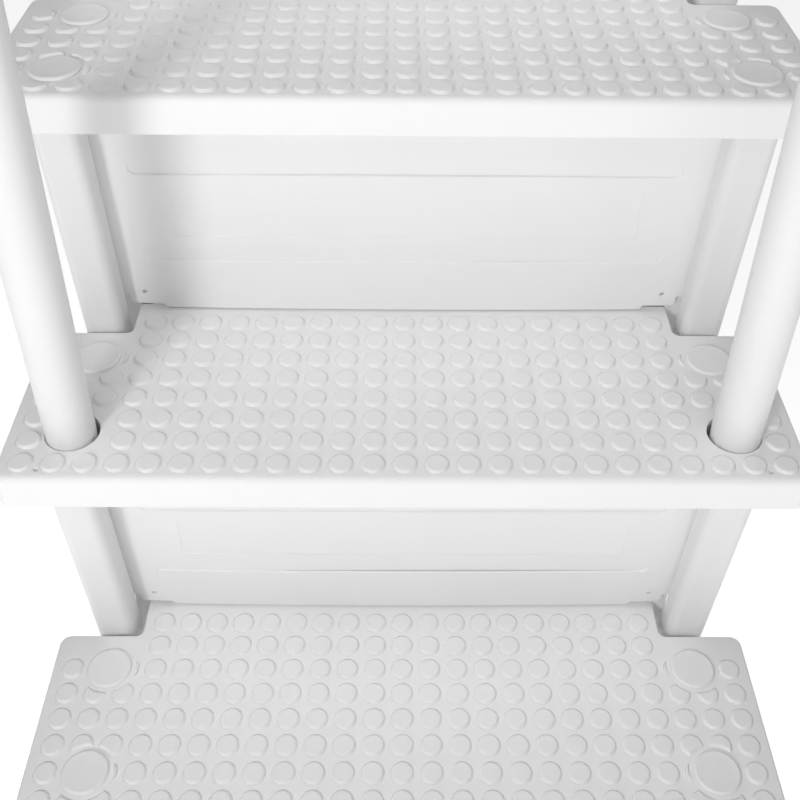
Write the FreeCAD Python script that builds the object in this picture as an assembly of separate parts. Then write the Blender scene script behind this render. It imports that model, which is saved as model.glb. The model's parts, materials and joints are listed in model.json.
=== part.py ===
"""Pool ladder: four studded treads on leaning legs, with riser panels, base rails and two handrails.

Millimetres. +X to the right of someone climbing out, +Y towards the pool wall and deck, +Z up.
The origin is on the pool floor, under the middle of the bounding box.
"""
import FreeCAD, Part
import math
import os

# ---------------------------------------------------------------- driving dimensions
PITCH = 31.75                    # spacing of the raised studs on a tread
LEVELS = 4                       # treads
RISE = 325.0                     # from one tread's top to the next
RUN = 173.0                      # from one tread's front to the next
LEAN = 7.2                       # degrees, forward lean of legs and risers

# treads
TREAD_WIDTH = 25.6 * PITCH
TREAD_HEIGHT = 40.0
TREAD_SKIN = 4.0                 # thickness of its top and skirt
TREAD_FRONT_ROW = 8.7            # rows are counted from the back, and row 1 is at the riser
SHOULDER_ROW = 1.5               # back edge of the tread beside the next riser
NOTCH_X = 9.8 * PITCH            # inner side of the notch that lets the next leg pass
TREAD_BACK = 39.5                # back edge of the middle, behind row 1
CORNER_RADIUS = 14.0
NOTCH_RADIUS = 6.0
TOP_ROUNDING = 3.5
RIB_THICKNESS = 3.0
RIB_DEPTH = 22.0
STUD_COLUMNS = 12                # to each side of the middle column
STUD_ROWS = 8
NARROW_ROWS = 2                  # rows between the notches
NARROW_COLUMNS = 9
STUD_RADIUS = 0.39 * PITCH
STUD_HEIGHT = 2.4
LIP_HEIGHT = 5.0                 # upstand behind the riser's foot
LIP_DEPTH = 5.0
LIP_EAR_HEIGHT = 34.0            # taller ends of the lip that take the riser's screws
LIP_EAR_WIDTH = 33.0
HOOK_REACH = 15.0                # the ear also hooks behind the next leg by this much

# legs and the places where they meet the tread
LEG_X = 10.79 * PITCH
LEG_ROWS = {"front": 7.53, "rear": 3.53}
LEG_WIDTH = 46.0
LEG_DEPTH = 40.0
LEG_WALL = 3.0
LEG_CORNER = 8.0
SOCKET_GAP = 0.2
SOCKET_WALL = 4.0
CLEAR_RADIUS = 0.97 * PITCH      # flat ring around a cap or handrail, free of studs
CAP_X = 10.67 * PITCH
CAP_ROWS = {"front": 7, "rear": 3}
CAP_HOLE_RADIUS = 19.0
CAP_RADIUS = 0.82 * PITCH
CAP_DOME = 3.2
CAP_SKIRT = 3.6
CAP_WALL = 2.5
CAP_OVERLAP = 0.5                # the skirt runs this far into the disc

# risers
RISER_THICKNESS = 6.0
RISER_GAP = 1.0                  # behind the legs
RISER_HALF_WIDTH = 10.3 * PITCH
RISER_FOOT_HALF_WIDTH = 9.98 * PITCH
RISER_FOOT_HEIGHT = 0.75 * PITCH
RISER_MIDDLE_HALF_WIDTH = 8.7 * PITCH
RISER_FOOT_LIFT = 8.3            # the corners of the foot stand clear of the tread by this
RISER_FOOT_GAP = 0.8
RISER_TOP_GAP = 1.0              # below the tread that it reaches up to
CHANNEL_DEPTH = 1.5              # two long shallow channels stiffen the panel
CHANNEL_HEIGHT = 0.56 * PITCH
CHANNEL_HALF_LENGTH = 9.15 * PITCH
CHANNELS_UP = (2.66 * PITCH, 6.51 * PITCH)
GROOVE_FRAME = (7.97 * PITCH, 3.48 * PITCH, 5.6 * PITCH)   # half width, bottom and top of a fine outline
GROOVE_WIDTH = 1.2
GROOVE_DEPTH = 0.6
SCREW_X = 9.42 * PITCH
SCREW_UP = 0.85 * PITCH
SCREW_RADIUS = 2.3
SCREW_LENGTH = 13.0
SCREW_SUNK = 1.5

# base
PAD_THICKNESS = 4.0
PAD_LENGTH = 120.0
PAD_INSET = 20.0                 # from the base rail's end
BASE_WIDTH = 56.0
BASE_TOP = 46.0
BASE_FRONT_END = 42.0            # base rail beyond its outermost legs
BASE_REAR_END = 22.0
BASE_CORNER = 20.0
BASE_FLOOR = 6.0                 # left under a leg in its pocket
CROSSBAR_BOTTOM = 10.0
CROSSBAR_HEIGHT = 30.0
CROSSBAR_DEPTH = 40.0
CROSSBAR_WALL = 3.0
CROSSBAR_PLUG = 25.0             # solid end of a crossbar
CROSSBAR_BITE = 20.0             # of a base screw in that end
BASE_SCREW_RADIUS = 4.0
BASE_SCREW_HEAD = (8.0, 4.0)     # radius, thickness

# handrails
RAIL_LEVEL = 2                   # the tread that they stand on
RAIL_RADIUS = 25.4
RAIL_WALL = 2.5
RAIL_FORWARD = 7.2               # degrees, forward lean of the upright
RAIL_INWARD = 2.75               # degrees, lean towards the middle
RAIL_HOLE_X = 10.70 * PITCH
RAIL_HOLE_ROW = 6.6
RAIL_HOLE_RADIUS = 27.9
RAIL_HOLE_SHIFT = 1.2            # the rail stands off its hole's centre, outwards and forwards
RAIL_TOP = 2010.0
RAIL_BEND = 130.0
RAIL_INSERT = 22.0               # upright's end below the tread's top
RAIL_BOSS_WALL = 3.5
RAIL_BOSS_FLOOR = 7.0
LOCK_HOLE = (11.45 * PITCH, 8.27, 2.2)       # x, row and radius of the small hole by each handrail
SPIGOT_GAP = 0.05
SPIGOT_LENGTH = 190.0
SPIGOT_SHOULDER = 4.0
SPIGOT_PLUG = 60.0
JOINER_LENGTH = 90.0
JOINER_GAP = 0.1
RAIL_SCREW_RADIUS = 2.5
RAIL_SCREW_HEAD = (5.0, 1.6)     # radius, thickness

# deck flanges
DECK_TOP = 1300.0
DECK_Y = 700.0                   # behind row 1 of the lowest tread
FLANGE_WIDTH = 120.0
FLANGE_DEPTH = 100.0
FLANGE_THICKNESS = 6.0
FLANGE_CORNER = 14.0
FLANGE_HOLES = (92.0, 72.0, 4.5)             # spacing across, spacing along, radius
EAR_THICKNESS = 6.0
EAR_GAP = 0.6                    # each side of the tube
EAR_LENGTH = 40.0
PIVOT_UP = 38.0
PIVOT_RADIUS = 5.0
PIVOT_GAP = 0.05
PIVOT_HEAD = (9.0, 5.0)          # radius, thickness
TUBE_BELOW_PIVOT = 20.0

# ---------------------------------------------------------------- values that follow
TAN_LEAN = math.tan(math.radians(LEAN))
FRONT_DEPTH = (TREAD_FRONT_ROW - 1) * PITCH
ROW_ONE_Y = (FRONT_DEPTH - DECK_Y - FLANGE_DEPTH / 2) / 2
SIDES = {"left": -1, "right": 1}
BASE_BOTTOM = PAD_THICKNESS
LEG_FOOT = BASE_BOTTOM + BASE_FLOOR
SPIGOT_RISE = 3.0                # between the leg's end and the spigot's shoulder
RAIL_LEG_TOP = RAIL_INSERT + SPIGOT_SHOULDER + SPIGOT_RISE


def vec(x, y, z):
    return FreeCAD.Vector(x, y, z)


def row_y(level, row):
    """Y of a stud row, counted from the back of the tread at that level."""
    return ROW_ONE_Y + (level - 1) * RUN - (row - 1) * PITCH


def tread_z(level):
    return level * RISE


# ---------------------------------------------------------------- building blocks
def rounded_wire(corners, z=0.0):
    """Closed flat wire through (x, y, radius) corners, each rounded by a tangent arc."""
    points = [vec(x, y, z) for x, y, radius in corners]
    stations = []
    for i, (x, y, radius) in enumerate(corners):
        back = (points[i - 1] - points[i]).normalize()
        ahead = (points[(i + 1) % len(points)] - points[i]).normalize()
        half = back.getAngle(ahead) / 2
        reach = radius / math.tan(half)
        middle = points[i] + (back + ahead).normalize() * (radius / math.sin(half) - radius)
        stations.append((points[i] + back * reach, middle, points[i] + ahead * reach, radius))
    edges = []
    for i, (start, middle, end, radius) in enumerate(stations):
        if radius > 0:
            edges.append(Part.Arc(start, middle, end).toShape())
        following = stations[(i + 1) % len(stations)][0]
        if (following - end).Length > 1e-6:
            edges.append(Part.makeLine(end, following))
    return Part.Wire(edges)


def rounded_rectangle(x, y, width, depth, radius, z=0.0):
    w, d = width / 2, depth / 2
    return rounded_wire([(x - w, y - d, radius), (x + w, y - d, radius),
                         (x + w, y + d, radius), (x - w, y + d, radius)], z)


def prism(wire, direction):
    return Part.Face(wire).extrude(direction)


def holed_face(rim, hole):
    return Part.Face(rim).cut(Part.Face(hole)).Faces[0]


def leaning_prism(x, y, z_low, z_high, width, depth, radius, wall=0.0):
    """Upright of rounded-rectangle section that leans forward and is cut level at both ends.

    Its axis passes through (x, y) at height zero.
    """
    y_low = y - z_low * TAN_LEAN
    outer = rounded_rectangle(x, y_low, width, depth, radius, z_low)
    section = Part.Face(outer)
    if wall:
        section = holed_face(outer, rounded_rectangle(x, y_low, width - 2 * wall, depth - 2 * wall,
                                                      radius - wall, z_low))
    height = z_high - z_low
    return section.extrude(vec(0, -height * TAN_LEAN, height))


def ring_face(centre, axis, outer, inner):
    rim = Part.Wire(Part.Circle(centre, axis, outer).toShape())
    hole = Part.Wire(Part.Circle(centre, axis, inner).toShape())
    return holed_face(rim, hole)


def rod(start, axis, radius, length):
    return Part.makeCylinder(radius, length, start, axis)


def oblique_rod(foot, direction, radius, low, high):
    """Round bar along a leaning line through its foot, cut level at two heights above the foot."""
    rim = Part.Circle(foot + direction * (low / direction.z), vec(0, 0, 1), radius)
    return prism(Part.Wire(rim.toShape()), direction * ((high - low) / direction.z))


def box(low, high):
    size = vec(*high) - vec(*low)
    return Part.makeBox(size.x, size.y, size.z, vec(*low))


def leg_axis_y(level, place):
    """Y at height zero of the leg under the front or rear cap of a tread."""
    return row_y(level, LEG_ROWS[place]) + tread_z(level) * TAN_LEAN


# ---------------------------------------------------------------- treads
def leg_places():
    """(side, place, x, y) of the four leg positions on a tread, in the tread's own frame."""
    for side in SIDES.values():
        for place, row in LEG_ROWS.items():
            yield side, place, side * LEG_X, -(row - 1) * PITCH


def cap_places(level):
    """(side, x, y) of the caps on a tread, in the tread's own frame."""
    for side in SIDES.values():
        for place, row in CAP_ROWS.items():
            if not (level == RAIL_LEVEL and place == "front"):
                yield side, side * CAP_X, -(row - 1) * PITCH


def rail_hole(side):
    """Middle of the hole that a handrail stands in, in the tread's own frame."""
    return vec(side * RAIL_HOLE_X, -(RAIL_HOLE_ROW - 1) * PITCH, 0)


def tread_outline(inset=0.0):
    """Plan of a tread: full width in front, and a narrower middle that reaches under the riser."""
    half = TREAD_WIDTH / 2 - inset
    front = -FRONT_DEPTH + inset
    shoulder = -(SHOULDER_ROW - 1) * PITCH - inset
    notch = NOTCH_X - inset
    back = TREAD_BACK - inset
    corner = max(CORNER_RADIUS - inset, 1.0)
    right = [(half, front, corner), (half, shoulder, corner), (notch, shoulder, NOTCH_RADIUS),
             (notch, back, 3.0)]
    left = [(-x, y, radius) for x, y, radius in reversed(right)]
    return right + left


def stud(level, column, row):
    """One raised stud, left out beside a handrail and trimmed by the flat ring around a cap."""
    x, y = column * PITCH, -(row - 1) * PITCH
    for side in SIDES.values():
        hole = rail_hole(side)
        if level == RAIL_LEVEL and math.hypot(x - hole.x, y - hole.y) < CLEAR_RADIUS:
            return None
    shape = rod(vec(x, y, -1), vec(0, 0, 1), STUD_RADIUS, STUD_HEIGHT + 1)
    for side, cap_x, cap_y in cap_places(level):
        distance = math.hypot(x - cap_x, y - cap_y)
        if distance + STUD_RADIUS < CLEAR_RADIUS + 1.0:
            return None
        if distance - STUD_RADIUS < CLEAR_RADIUS:
            shape = shape.cut(rod(vec(cap_x, cap_y, -2), vec(0, 0, 1), CLEAR_RADIUS, 10))
    return shape


def studs(level):
    shapes = []
    for row in range(1, STUD_ROWS + 1):
        columns = NARROW_COLUMNS if row <= NARROW_ROWS else STUD_COLUMNS
        for column in range(-columns, columns + 1):
            shape = stud(level, column, row)
            if shape is not None:
                shapes.append(shape)
    return shapes


def tread_shell():
    """Top plate and skirt, open below, with stiffening ribs."""
    outer = prism(rounded_wire(tread_outline(), -TREAD_HEIGHT), vec(0, 0, TREAD_HEIGHT))
    rim = [edge for edge in outer.Edges if edge.BoundBox.ZMin > -0.01]
    outer = outer.makeFillet(TOP_ROUNDING, rim)
    inner = prism(rounded_wire(tread_outline(TREAD_SKIN), -TREAD_HEIGHT - 1),
                  vec(0, 0, TREAD_HEIGHT + 1 - TREAD_SKIN))
    shell = outer.cut(inner)
    low = -TREAD_SKIN - RIB_DEPTH
    ribs = []
    for row in (2, 5, 8):
        y = -(row - 1) * PITCH
        half = NOTCH_X - 2 if row == 2 else TREAD_WIDTH / 2 - 2
        ribs.append(box((-half, y - RIB_THICKNESS / 2, low), (half, y + RIB_THICKNESS / 2, -1)))
    for column in (-8, -4, 0, 4, 8):
        x = column * PITCH
        ribs.append(box((x - RIB_THICKNESS / 2, -FRONT_DEPTH + 2, low),
                        (x + RIB_THICKNESS / 2, TREAD_BACK - 2, -1)))
    return shell.multiFuse(ribs)


def back_lip():
    """Upstand behind the next riser's foot.

    Its ends are taller, take the riser's screws and hook behind the next tread's legs.
    """
    y = TREAD_BACK - LIP_DEPTH
    half = NOTCH_X - 1
    pieces = [box((-half, y, -2), (half, TREAD_BACK, LIP_HEIGHT))]
    for side in SIDES.values():
        hook = LEG_X - LEG_WIDTH / 2 + HOOK_REACH
        near, far = sorted((side * hook, side * (half - LIP_EAR_WIDTH)))
        pieces.append(box((near, y, -TREAD_HEIGHT), (far, TREAD_BACK, LIP_EAR_HEIGHT)))
    return pieces


def tread(level):
    """A tread in place. Its legs stand in sockets below, and round holes over them take the caps."""
    bosses, holes = [], []
    if level < LEVELS:
        bosses += back_lip()
    for side, place, x, y in leg_places():
        rail = level == RAIL_LEVEL and place == "front"
        bosses.append(leaning_prism(x, y, -TREAD_HEIGHT, -1, LEG_WIDTH + 2 * SOCKET_WALL,
                                    LEG_DEPTH + 2 * SOCKET_WALL, LEG_CORNER + SOCKET_WALL))
        top = 1.5 + SPIGOT_RISE - RAIL_LEG_TOP if rail else -TREAD_SKIN
        holes.append(leaning_prism(x, y, -TREAD_HEIGHT - 1, top, LEG_WIDTH + 2 * SOCKET_GAP,
                                   LEG_DEPTH + 2 * SOCKET_GAP, LEG_CORNER + SOCKET_GAP))
        if rail:
            up = rail_direction(side)
            bosses.append(oblique_rod(rail_hole(side), up, RAIL_HOLE_RADIUS + RAIL_BOSS_WALL,
                                      -TREAD_HEIGHT, -1))
            holes.append(oblique_rod(rail_hole(side), up, RAIL_HOLE_RADIUS,
                                     RAIL_BOSS_FLOOR - TREAD_HEIGHT, 20))
            lock_x, lock_row, lock_radius = LOCK_HOLE
            holes.append(rod(vec(side * lock_x, -(lock_row - 1) * PITCH, -10), vec(0, 0, 1),
                             lock_radius, 20))
    for side, x, y in cap_places(level):
        holes.append(rod(vec(x, y, -TREAD_SKIN - 0.5), vec(0, 0, 1), CAP_HOLE_RADIUS, 20))
    shape = tread_shell().multiFuse(bosses + studs(level))
    shape = shape.cut(Part.makeCompound(holes)).removeSplitter()
    shape.translate(vec(0, row_y(level, 1), tread_z(level)))
    return shape


def cap(x, y, z):
    """Round plug: a low domed disc with a short skirt that presses into the tread's top."""
    sphere = (CAP_RADIUS ** 2 + CAP_DOME ** 2) / (2 * CAP_DOME)
    disc = Part.makeSphere(sphere, vec(x, y, z + CAP_DOME - sphere))
    disc = disc.common(rod(vec(x, y, z), vec(0, 0, 1), CAP_RADIUS, CAP_DOME + 1))
    skirt = ring_face(vec(x, y, z - CAP_SKIRT), vec(0, 0, 1), CAP_HOLE_RADIUS,
                      CAP_HOLE_RADIUS - CAP_WALL).extrude(vec(0, 0, CAP_SKIRT + CAP_OVERLAP))
    return disc.fuse(skirt)


def caps(level):
    return Part.makeCompound([cap(x, y + row_y(level, 1), tread_z(level))
                              for side, x, y in cap_places(level)])


# ---------------------------------------------------------------- legs and base
def leg(level, place, side):
    """Square tube from its pocket in the base rail to the underside of its tread."""
    drop = RAIL_LEG_TOP if (level == RAIL_LEVEL and place == "front") else TREAD_SKIN
    return leaning_prism(side * LEG_X, leg_axis_y(level, place), LEG_FOOT, tread_z(level) - drop,
                         LEG_WIDTH, LEG_DEPTH, LEG_CORNER, LEG_WALL)


def base_span():
    """Y of the base rail's two ends."""
    front = leg_axis_y(1, "front") - LEG_DEPTH / 2
    rear = leg_axis_y(LEVELS, "rear") + LEG_DEPTH / 2
    return front - BASE_FRONT_END, rear + BASE_REAR_END


def crossbar_y():
    """Y of the crossbars: midway between the legs of the lowest tread, and of the highest."""
    front = (leg_axis_y(1, "front") + leg_axis_y(1, "rear")) / 2
    rear = (leg_axis_y(LEVELS, "front") + leg_axis_y(LEVELS, "rear")) / 2
    return {"front": front, "rear": rear}


def base_screw(side, y):
    """Long screw through the base rail into the end of a crossbar."""
    radius, thickness = BASE_SCREW_HEAD
    z = CROSSBAR_BOTTOM + CROSSBAR_HEIGHT / 2
    outside = LEG_X + BASE_WIDTH / 2
    inside = LEG_X - BASE_WIDTH / 2 - CROSSBAR_BITE
    shank = rod(vec(side * inside, y, z), vec(side, 0, 0), BASE_SCREW_RADIUS, outside - inside)
    return shank.fuse(rod(vec(side * outside, y, z), vec(side, 0, 0), radius, thickness))


def base_screws():
    return [base_screw(side, y) for side in SIDES.values() for y in crossbar_y().values()]


def base_rail(side):
    """Skid under all the legs of one side, with a leaning pocket for each."""
    front, rear = base_span()
    rail = prism(rounded_rectangle(side * LEG_X, (front + rear) / 2, BASE_WIDTH, rear - front, BASE_CORNER,
                                   BASE_BOTTOM), vec(0, 0, BASE_TOP - BASE_BOTTOM))
    rim = [edge for edge in rail.Edges if edge.BoundBox.ZMin > BASE_TOP - 0.01]
    rail = rail.makeFillet(4.0, rim)
    pockets = []
    for level in range(1, LEVELS + 1):
        for place in LEG_ROWS:
            pockets.append(leaning_prism(side * LEG_X, leg_axis_y(level, place), LEG_FOOT, BASE_TOP + 1,
                                         LEG_WIDTH + 2 * SOCKET_GAP, LEG_DEPTH + 2 * SOCKET_GAP,
                                         LEG_CORNER + SOCKET_GAP))
    return rail.cut(Part.makeCompound(pockets + base_screws()))


def foot_pads(side):
    """Soft strips under a base rail that keep it off the pool liner."""
    front, rear = base_span()
    reach = PAD_LENGTH / 2 + PAD_INSET
    middles = (front + reach, (front + rear) / 2, rear - reach)
    return Part.makeCompound([prism(rounded_rectangle(side * LEG_X, y, BASE_WIDTH - 8, PAD_LENGTH, 8.0),
                                    vec(0, 0, PAD_THICKNESS)) for y in middles])


def crossbar(y):
    """Hollow bar between the base rails, with solid ends for its screws."""
    half = LEG_X - BASE_WIDTH / 2
    z = CROSSBAR_BOTTOM
    outer = box((-half, y - CROSSBAR_DEPTH / 2, z), (half, y + CROSSBAR_DEPTH / 2, z + CROSSBAR_HEIGHT))
    outer = outer.makeFillet(5.0, [edge for edge in outer.Edges if edge.BoundBox.XLength > half])
    inner = box((-half + CROSSBAR_PLUG, y - CROSSBAR_DEPTH / 2 + CROSSBAR_WALL, z + CROSSBAR_WALL),
                (half - CROSSBAR_PLUG, y + CROSSBAR_DEPTH / 2 - CROSSBAR_WALL,
                 z + CROSSBAR_HEIGHT - CROSSBAR_WALL))
    return outer.cut(inner).cut(Part.makeCompound(base_screws()))


# ---------------------------------------------------------------- risers
def riser_place(level, z):
    """Y of the riser's front face at height z: just behind the front legs of its tread."""
    return leg_axis_y(level, "front") - z * TAN_LEAN + LEG_DEPTH / 2 + RISER_GAP


def stand_up(shape, level, z):
    """Turn a panel drawn flat (up along +Y, face towards +Z) to lean with the legs at height z."""
    shape.rotate(vec(0, 0, 0), vec(1, 0, 0), 90 + LEAN)
    shape.translate(vec(0, riser_place(level, z), z))
    return shape


def riser_outline(height):
    """Front view of a riser: stepped side edges, and a middle that reaches down to the tread."""
    right = [(RISER_MIDDLE_HALF_WIDTH, RISER_FOOT_GAP, 1.5),
             (RISER_MIDDLE_HALF_WIDTH + 4, RISER_FOOT_LIFT, 1.5),
             (RISER_FOOT_HALF_WIDTH, RISER_FOOT_LIFT, 4.0),
             (RISER_FOOT_HALF_WIDTH, RISER_FOOT_HEIGHT, 0.5),
             (RISER_HALF_WIDTH, RISER_FOOT_HEIGHT, 0.5), (RISER_HALF_WIDTH, height, 1.0)]
    left = [(-x, y, radius) for x, y, radius in reversed(right)]
    return right + left


def recess(half_length, low, high, radius, depth):
    """Tool that sinks a rounded rectangle into the face of a panel drawn flat."""
    wire = rounded_rectangle(0, (low + high) / 2, 2 * half_length, high - low, radius, -depth)
    return prism(wire, vec(0, 0, depth + 1))


def riser(level):
    """Panel between one tread and the next, or above the base rails under the lowest tread."""
    start = tread_z(level - 1) if level > 1 else BASE_TOP
    height = (tread_z(level) - TREAD_HEIGHT - start) / math.cos(math.radians(LEAN)) - RISER_TOP_GAP
    body = prism(rounded_wire(riser_outline(height), -RISER_THICKNESS), vec(0, 0, RISER_THICKNESS))
    half, low, high = GROOVE_FRAME
    groove = recess(half, low, high, 1.5, GROOVE_DEPTH)
    tools = [groove.cut(recess(half - GROOVE_WIDTH, low + GROOVE_WIDTH, high - GROOVE_WIDTH, 0.5,
                               GROOVE_DEPTH + 1))]
    for up in CHANNELS_UP:
        tools.append(recess(CHANNEL_HALF_LENGTH, up - CHANNEL_HEIGHT / 2, up + CHANNEL_HEIGHT / 2,
                            CHANNEL_HEIGHT * 0.49, CHANNEL_DEPTH))
    body = body.cut(Part.makeCompound(tools))
    if level > 1:
        for side in SIDES.values():
            body = body.cut(rod(vec(side * SCREW_X, SCREW_UP, -10), vec(0, 0, 1), SCREW_RADIUS, 20))
    return stand_up(body, level, start)


def riser_screws():
    """Two screws at the foot of each riser above a tread, driven into the tread's back lip."""
    shapes = []
    for level in range(2, LEVELS + 1):
        for side in SIDES.values():
            screw = rod(vec(side * SCREW_X, SCREW_UP, -SCREW_SUNK - SCREW_LENGTH), vec(0, 0, 1),
                        SCREW_RADIUS, SCREW_LENGTH)
            shapes.append(stand_up(screw, level, tread_z(level - 1)))
    return shapes


# ---------------------------------------------------------------- handrails
def rail_direction(side):
    return vec(-side * math.tan(math.radians(RAIL_INWARD)),
               -math.tan(math.radians(RAIL_FORWARD)), 1).normalize()


def rail_foot(side):
    """Where the handrail's axis meets the top of its tread."""
    return vec(side * (RAIL_HOLE_X + RAIL_HOLE_SHIFT),
               row_y(RAIL_LEVEL, RAIL_HOLE_ROW) - RAIL_HOLE_SHIFT, tread_z(RAIL_LEVEL))


def rail_route(side):
    """Corners of the handrail's axis: foot, top of the upright, top of the drop, deck end."""
    up = rail_direction(side)
    foot = rail_foot(side)
    start = foot - up * (RAIL_INSERT / up.z)
    top = foot + up * ((RAIL_TOP - foot.z) / up.z)
    behind = vec(top.x, ROW_ONE_Y + DECK_Y, RAIL_TOP)
    end = vec(top.x, behind.y, DECK_TOP + PIVOT_UP - TUBE_BELOW_PIVOT)
    return [start, top, behind, end]


def bend(before, corner, after, radius):
    """Start, end, centre, axis and angle of the arc of that radius that rounds a corner."""
    back = (before - corner).normalize()
    ahead = (after - corner).normalize()
    half = back.getAngle(ahead) / 2
    reach = radius / math.tan(half)
    centre = corner + (back + ahead).normalize() * (radius / math.sin(half))
    axis = ahead.cross(back).normalize()
    return corner + back * reach, corner + ahead * reach, centre, axis, 180 - 2 * math.degrees(half)


def straight_tube(start, end):
    face = ring_face(start, end - start, RAIL_RADIUS, RAIL_RADIUS - RAIL_WALL)
    return face.extrude(end - start)


def bent_tube(start, along, centre, axis, angle):
    face = ring_face(start, along, RAIL_RADIUS, RAIL_RADIUS - RAIL_WALL)
    return face.revolve(centre, axis, angle)


def handrail(side):
    """The five tubes of one handrail, its inner joiners, and the screws through each joint."""
    start, top, behind, end = rail_route(side)
    up, over = (top - start).normalize(), (behind - top).normalize()
    front_start, front_end, *front_arc = bend(start, top, behind, RAIL_BEND)
    rear_start, rear_end, *rear_arc = bend(top, behind, end, RAIL_BEND)
    tubes = {"upright": straight_tube(start, front_start),
             "front_bend": bent_tube(front_start, up, *front_arc),
             "top": straight_tube(front_end, rear_start),
             "rear_bend": bent_tube(rear_start, over, *rear_arc),
             "drop": straight_tube(rear_end, end)}
    joiners, screws = [], []
    inward = vec(-side, 0, 0)
    for place, along in ((front_start, up * -1), (front_end, over), (rear_start, over * -1),
                         (rear_end, vec(0, 0, -1))):
        joiners.append(joiner(place, along))
        screws.append(rail_screw(place + along * (JOINER_LENGTH / 3), along, inward))
    for name in tubes:
        tubes[name] = tubes[name].cut(Part.makeCompound(screws))
    joiners = [shape.cut(Part.makeCompound(screws)) for shape in joiners]
    return tubes, joiners, screws


def joiner(place, along):
    """Short inner tube that lines up two tubes. It lies wholly in the straight one."""
    outer = RAIL_RADIUS - RAIL_WALL - JOINER_GAP
    face = ring_face(place + along * 1.0, along, outer, outer - RAIL_WALL)
    return face.extrude(along * JOINER_LENGTH)


def rail_screw(place, along, inward):
    """Pan-head screw through the inner side of the tube into its joiner."""
    across = (inward - along * inward.dot(along)).normalize()
    radius, thickness = RAIL_SCREW_HEAD
    shank = rod(place + across * (RAIL_RADIUS - 8), across, RAIL_SCREW_RADIUS, 8.5)
    return shank.fuse(rod(place + across * (RAIL_RADIUS - 0.2), across, radius, thickness))


def spigot(side):
    """Plug in the leg's end with a shoulder that the handrail rests on and a long round spigot."""
    up = rail_direction(side)
    level, place = RAIL_LEVEL, "front"
    leg_top = tread_z(level) - RAIL_LEG_TOP
    shoulder_end = rail_foot(side) - up * (RAIL_INSERT / up.z)
    radius = RAIL_RADIUS - RAIL_WALL - SPIGOT_GAP
    pin = rod(shoulder_end, up, radius, SPIGOT_LENGTH)
    pin = pin.makeFillet(3.0, [edge for edge in pin.Edges if edge.BoundBox.ZMin > shoulder_end.z + 50])
    shoulder = rod(shoulder_end - up * SPIGOT_SHOULDER, up, RAIL_RADIUS, SPIGOT_SHOULDER)
    inner = 2 * (LEG_WALL + SOCKET_GAP)
    plug = leaning_prism(side * LEG_X, leg_axis_y(level, place), leg_top - SPIGOT_PLUG,
                         leg_top + SPIGOT_RISE, LEG_WIDTH - inner, LEG_DEPTH - inner,
                         LEG_CORNER - LEG_WALL)
    return plug.multiFuse([shoulder, pin])


# ---------------------------------------------------------------- deck flanges
def flange_centre(side):
    end = rail_route(side)[3]
    return vec(end.x, end.y, DECK_TOP)


def flange_ears():
    """X of the inner and outer face of an ear, from the tube's axis."""
    inner = RAIL_RADIUS + EAR_GAP
    return inner, inner + EAR_THICKNESS


def pivot_bolt(centre):
    """Bolt across both ears and the tube's end, with a head and a nut outside the ears."""
    radius, thickness = PIVOT_HEAD
    inner, outer = flange_ears()
    z = centre.z + PIVOT_UP
    start = vec(centre.x - outer - thickness, centre.y, z)
    bolt = rod(start, vec(1, 0, 0), PIVOT_RADIUS, 2 * (outer + thickness))
    head = rod(start, vec(1, 0, 0), radius, thickness)
    nut = rod(vec(centre.x + outer, centre.y, z), vec(1, 0, 0), radius, thickness)
    return bolt.multiFuse([head, nut])


def deck_flange(centre):
    """Bolted plate with two round-topped ears that hold the handrail's end."""
    across, along, hole = FLANGE_HOLES
    plate = prism(rounded_rectangle(centre.x, centre.y, FLANGE_WIDTH, FLANGE_DEPTH, FLANGE_CORNER,
                                    centre.z), vec(0, 0, FLANGE_THICKNESS))
    inner, outer = flange_ears()
    pieces, holes = [], []
    for sign in (-1, 1):
        x = centre.x + min(sign * inner, sign * outer)
        low = vec(x, centre.y - EAR_LENGTH / 2, centre.z + 1)
        ear = Part.makeBox(EAR_THICKNESS, EAR_LENGTH, PIVOT_UP - 1, low)
        pieces += [ear, rod(vec(x, centre.y, centre.z + PIVOT_UP), vec(1, 0, 0), EAR_LENGTH / 2,
                            EAR_THICKNESS)]
        for ahead in (-1, 1):
            holes.append(rod(vec(centre.x + sign * across / 2, centre.y + ahead * along / 2,
                                 centre.z - 1), vec(0, 0, 1), hole, FLANGE_THICKNESS + 2))
    holes.append(rod(vec(centre.x - 50, centre.y, centre.z + PIVOT_UP), vec(1, 0, 0),
                     PIVOT_RADIUS + PIVOT_GAP, 100))
    return plate.multiFuse(pieces).cut(Part.makeCompound(holes)).removeSplitter()


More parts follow.
